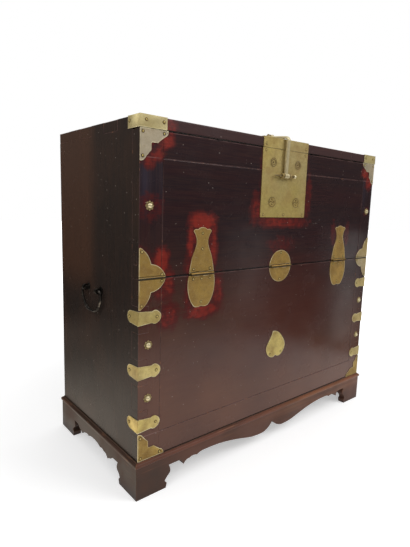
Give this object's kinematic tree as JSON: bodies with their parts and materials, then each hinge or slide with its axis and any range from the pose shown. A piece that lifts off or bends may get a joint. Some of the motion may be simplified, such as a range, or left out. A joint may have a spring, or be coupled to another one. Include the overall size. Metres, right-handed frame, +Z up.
{
  "type": "bandaji chest",
  "caption": "Korean bandaji blanket chest: drop-front door on brass hinges, lock bar and pin, iron bail handles, loose stand with scalloped aprons.",
  "frame": {"origin": "on the floor, in the middle of the object's width and depth (halfway between the lock staples' front and the back of the stand)", "axes": "+Z up, the chest's front with its door faces -Y, +X to the right of someone who faces the front"},
  "size_m": [0.934, 0.45, 0.8711],
  "materials": {
    "lacquered_front": "dark plum-brown rubbed lacquer, semi-gloss, red undercoat worn through round the brass",
    "lacquered_case": "dark brown rubbed lacquer, semi-gloss",
    "stand_wood": "red-brown oiled and lacquered wood with worn lighter edges",
    "sheet_brass": "aged olive-gold sheet brass with rubbed bright edges",
    "cast_brass": "cast and filed brass, rubbed bright",
    "brass_nails": "turned brass nail heads, aged",
    "lock_pin_brass": "dark aged brass pin",
    "handle_iron": "forged iron, blackened"
  },
  "bodies": {
    "carcass": {"top_board": "lacquered_case", "left_side_board": "lacquered_case", "right_side_board": "lacquered_case", "bottom_board": "lacquered_case", "lower_back_board": "lacquered_case", "middle_back_board": "lacquered_case", "upper_back_board": "lacquered_case", "lower_front_field": "lacquered_front", "lower_front_rail": "lacquered_front", "left_front_stile": "lacquered_front", "right_front_stile": "lacquered_front", "stand_front_rail": "stand_wood", "stand_front_apron": "stand_wood", "stand_back_rail": "stand_wood", "stand_back_apron": "stand_wood", "stand_left_rail": "stand_wood", "stand_left_apron": "stand_wood", "stand_right_rail": "stand_wood", "stand_right_apron": "stand_wood", "stand_corner_blocks": "stand_wood", "left_bottom_corner_plate": "sheet_brass", "right_bottom_corner_plate": "sheet_brass", "left_edge_plate_lower": "sheet_brass", "right_edge_plate_lower": "sheet_brass", "left_corner_straps": "sheet_brass", "right_corner_straps": "sheet_brass", "left_top_corner_cap": "sheet_brass", "right_top_corner_cap": "sheet_brass", "peach_plate": "sheet_brass", "carcass_flower_bosses": "sheet_brass", "left_hinge_lower_leaf": "sheet_brass", "right_hinge_lower_leaf": "sheet_brass", "middle_hinge_lower_leaf": "sheet_brass", "hinge_pins": "sheet_brass", "top_lock_plate": "sheet_brass", "lock_keeper": "cast_brass", "carcass_nails": "brass_nails", "left_handle_posts": "handle_iron", "right_handle_posts": "handle_iron"},
    "door": {"door_field": "lacquered_front", "door_top_rail": "lacquered_front", "left_door_stile": "lacquered_front", "right_door_stile": "lacquered_front", "left_door_corner_plate": "sheet_brass", "right_door_corner_plate": "sheet_brass", "left_edge_plate_upper": "sheet_brass", "right_edge_plate_upper": "sheet_brass", "left_hinge_upper_leaf": "sheet_brass", "right_hinge_upper_leaf": "sheet_brass", "middle_hinge_upper_leaf": "sheet_brass", "door_flower_bosses": "sheet_brass", "door_lock_plate": "sheet_brass", "door_lock_staples": "cast_brass", "door_nails": "brass_nails"},
    "lock_bar": {"lock_bar": "cast_brass"},
    "lock_pin": {"lock_pin": "lock_pin_brass"},
    "left_bail": {"left_bail": "handle_iron"},
    "right_bail": {"right_bail": "handle_iron"}
  },
  "joints": [
    {"name": "door_hinge", "type": "hinge", "parent": "carcass", "child": "door", "pos_m": [0, -0.2123, 0.5125], "axis": [1, 0, 0], "range_deg": [0, 160]},
    {"name": "lock_bar_hinge", "type": "hinge", "parent": "door", "child": "lock_bar", "pos_m": [-0.006, -0.2178, 0.757], "axis": [1, 0, 0], "range_deg": [0, 60]},
    {"name": "lock_pin_slide", "type": "slide", "parent": "door", "child": "lock_pin", "axis": [1, 0, 0], "range_m": [0, 0.085]},
    {"name": "left_bail_hinge", "type": "hinge", "parent": "carcass", "child": "left_bail", "pos_m": [-0.4595, 0.0042, 0.457], "axis": [0, 1, 0], "range_deg": [-5, 160]},
    {"name": "right_bail_hinge", "type": "hinge", "parent": "carcass", "child": "right_bail", "pos_m": [0.4595, 0.0042, 0.457], "axis": [0, -1, 0], "range_deg": [-5, 160]}
  ]
}
